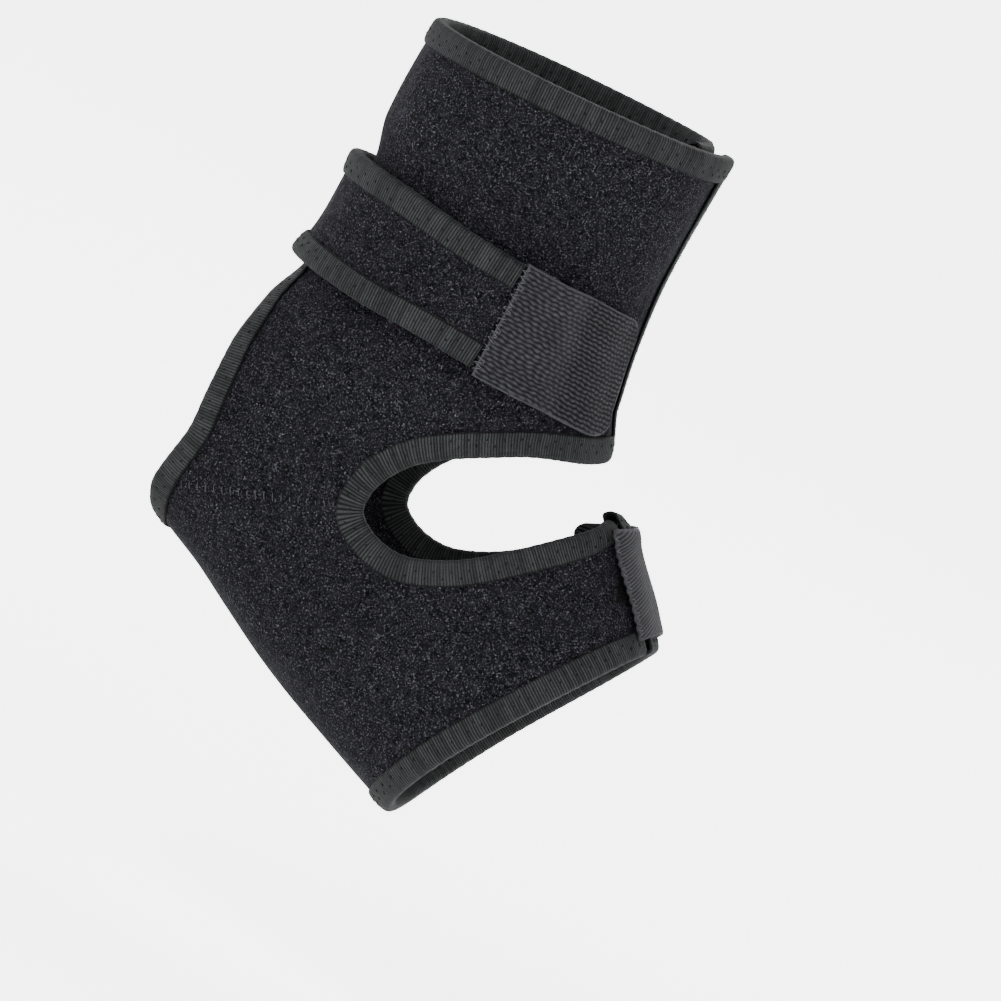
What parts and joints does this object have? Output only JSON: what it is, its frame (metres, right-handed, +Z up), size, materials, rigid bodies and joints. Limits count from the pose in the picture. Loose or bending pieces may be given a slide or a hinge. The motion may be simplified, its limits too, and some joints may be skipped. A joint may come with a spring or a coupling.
{
  "type": "ankle brace",
  "caption": "Open-heel neoprene wrap brace for a right ankle, with bound edges, a strap round the back that ends in a hook patch, and a hook tab over the instep.",
  "frame": {"origin": "centre of the ankle joint, in the middle of the hollow", "axes": "+Z up the shin, +X forward to the toes, -Y the outer side of the foot"},
  "size_m": [0.158, 0.0873, 0.2225],
  "materials": {
    "loop_fabric": "matt unbroken loop",
    "binding_tape": "ribbed elastic tape",
    "hook_tape": "ribbed hook tape"
  },
  "bodies": {
    "root": {"brace_body": "loop_fabric", "strap": "loop_fabric", "strap_hook_patch": "hook_tape", "instep_hook_tab": "hook_tape", "binding_rim": "binding_tape", "binding_toe_edge": "binding_tape", "binding_instep_outer": "binding_tape", "binding_instep_inner": "binding_tape", "binding_heel": "binding_tape", "binding_front_flap": "binding_tape", "strap_binding_upper": "binding_tape", "strap_binding_lower": "binding_tape"}
  },
  "joints": []
}
